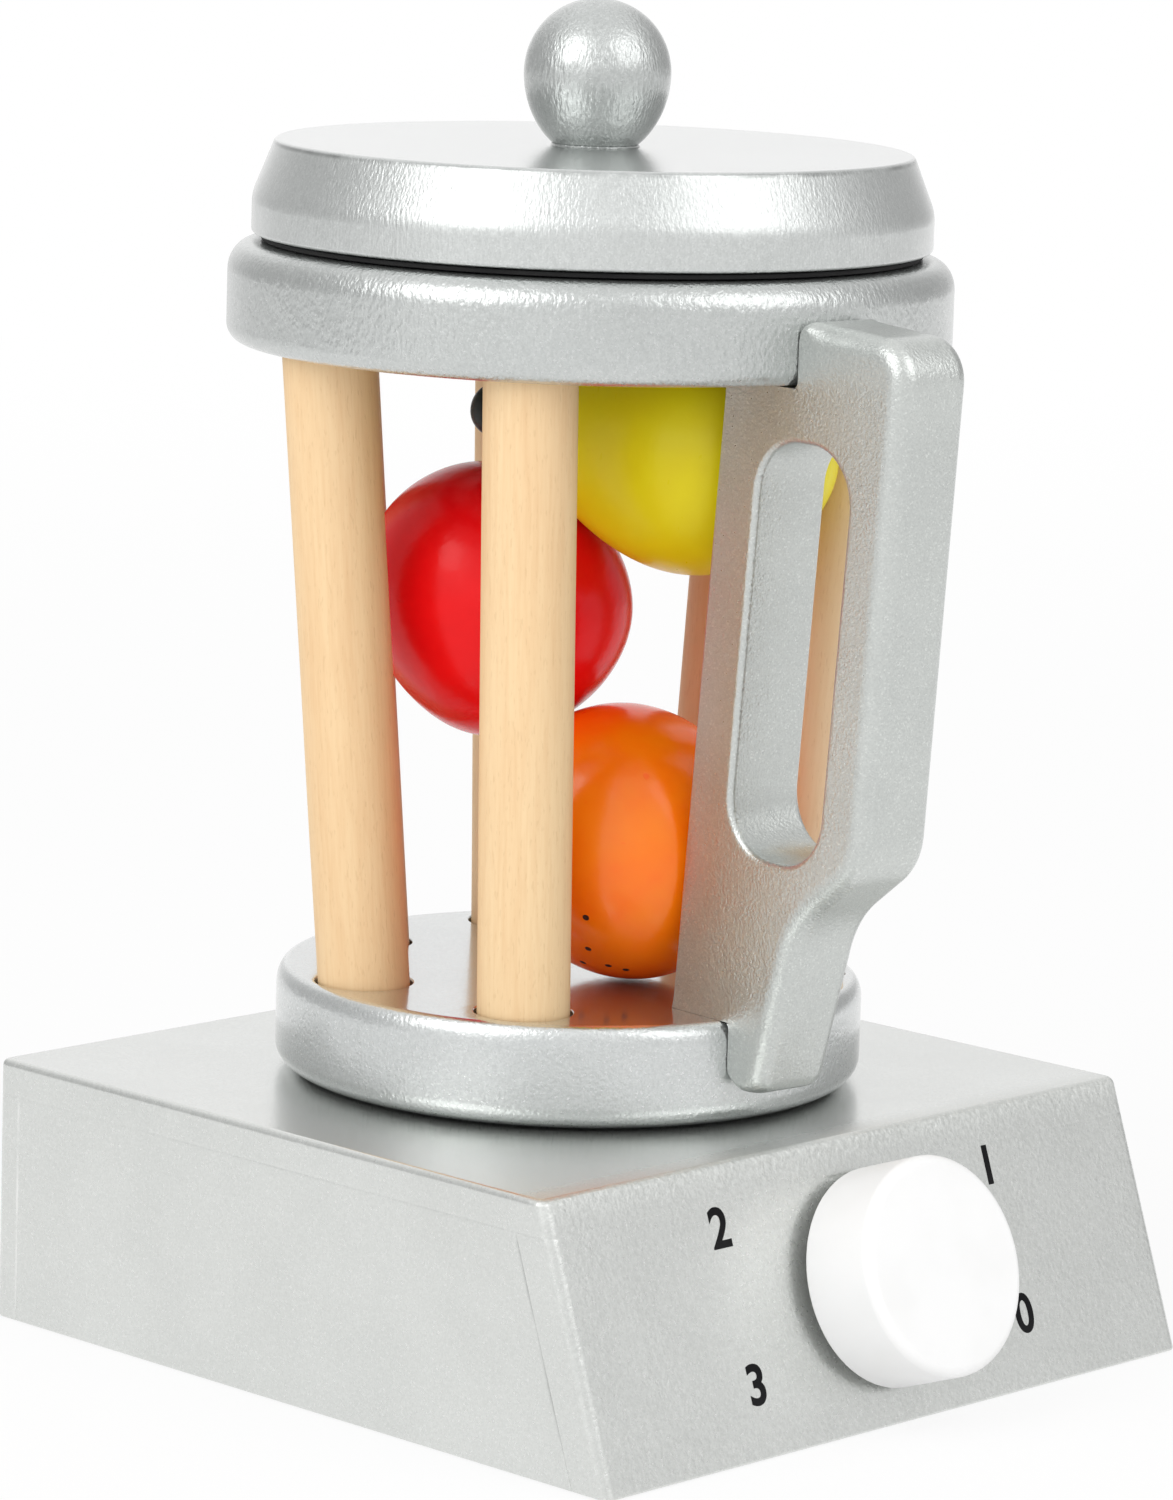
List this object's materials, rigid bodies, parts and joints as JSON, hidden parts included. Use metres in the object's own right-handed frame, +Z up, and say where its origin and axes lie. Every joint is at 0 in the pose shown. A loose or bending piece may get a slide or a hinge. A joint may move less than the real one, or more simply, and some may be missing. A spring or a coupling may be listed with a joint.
{
  "type": "toy blender",
  "caption": "Wooden play blender: sloped box base with a turning knob, and a lift-off jug of splayed dowels with a side handle, a lid with a ball knob, and loose wooden fruit inside.",
  "frame": {"origin": "middle of the base's underside, where the toy stands", "axes": "+Z up; -Y faces out of the sloped front that carries the knob; +X to the right of someone who looks at that front"},
  "size_m": [0.1454, 0.1626, 0.2332],
  "materials": {
    "silver_paint": "silver metallic lacquer over wood, satin with a fine grain",
    "pale_wood": "clear sealed, fine straight grain",
    "inner_wood": "bare",
    "white_paint": "matte white lacquer",
    "red_paint": "gloss lacquer",
    "yellow_paint": "gloss lacquer",
    "orange_paint": "gloss lacquer",
    "black_paint": "gloss lacquer",
    "steel": "zinc plated"
  },
  "bodies": {
    "base": {"base_top_board": "silver_paint", "base_front_board": "silver_paint", "base_back_board": "silver_paint", "base_left_board": "silver_paint", "base_right_board": "silver_paint", "base_bottom_board": "inner_wood", "glue_block_back_left": "inner_wood", "glue_block_back_right": "inner_wood", "glue_block_front_left": "inner_wood", "glue_block_front_right": "inner_wood", "base_screw_back_left": "steel", "base_screw_back_right": "steel", "base_screw_front_left": "steel", "base_screw_front_right": "steel"},
    "knob_group": {"knob": "white_paint", "knob_axle": "pale_wood", "knob_washer": "steel", "knob_screw": "steel"},
    "spindle_group": {"jug_spindle": "pale_wood", "spindle_washer": "steel", "spindle_screw": "steel"},
    "jug_group": {"jug_disc": "silver_paint", "jug_ring": "silver_paint", "jug_dowel_1": "pale_wood", "jug_dowel_2": "pale_wood", "jug_dowel_3": "pale_wood", "jug_dowel_4": "pale_wood", "jug_dowel_5": "pale_wood", "jug_dowel_6": "pale_wood", "jug_handle": "silver_paint", "handle_pin_lower": "pale_wood", "handle_pin_upper": "pale_wood"},
    "lid_group": {"lid_disc": "silver_paint", "lid_plug": "silver_paint", "lid_ball": "silver_paint", "lid_screw": "steel"},
    "red_fruit_group": {"red_fruit": "red_paint"},
    "yellow_fruit_group": {"yellow_fruit": "yellow_paint", "yellow_fruit_bead": "black_paint"},
    "orange_fruit_group": {"orange_fruit": "orange_paint"}
  },
  "joints": [
    {"name": "knob_turn", "type": "hinge", "parent": "base", "child": "knob_group", "pos_m": [0, -0.06641, 0.02315], "axis": [0, -0.9415, 0.3371], "continuous": true},
    {"name": "jug_turn", "type": "hinge", "parent": "base", "child": "spindle_group", "pos_m": [0, 0.007, 0.0463], "axis": [0, 0, 1], "continuous": true},
    {"name": "jug_lift", "type": "slide", "parent": "spindle_group", "child": "jug_group", "axis": [0, 0, 1], "range_m": [0, 0.03]},
    {"name": "lid_lift", "type": "slide", "parent": "jug_group", "child": "lid_group", "axis": [0, 0, 1], "range_m": [0, 0.04]},
    {"name": "red_fruit_spin", "type": "hinge", "parent": "jug_group", "child": "red_fruit_group", "pos_m": [-0.00835, 0.0199, 0.12923], "axis": [-0.5142, 0.3628, 0.7771], "continuous": true},
    {"name": "yellow_fruit_spin", "type": "hinge", "parent": "jug_group", "child": "yellow_fruit_group", "pos_m": [0.00378, -0.01194, 0.1586], "axis": [-0.5305, 0.8391, 0.1201], "continuous": true},
    {"name": "orange_fruit_spin", "type": "hinge", "parent": "jug_group", "child": "orange_fruit_group", "pos_m": [-0.00061, -0.00649, 0.08909], "axis": [-0.7257, 0.2233, -0.6508], "continuous": true}
  ]
}
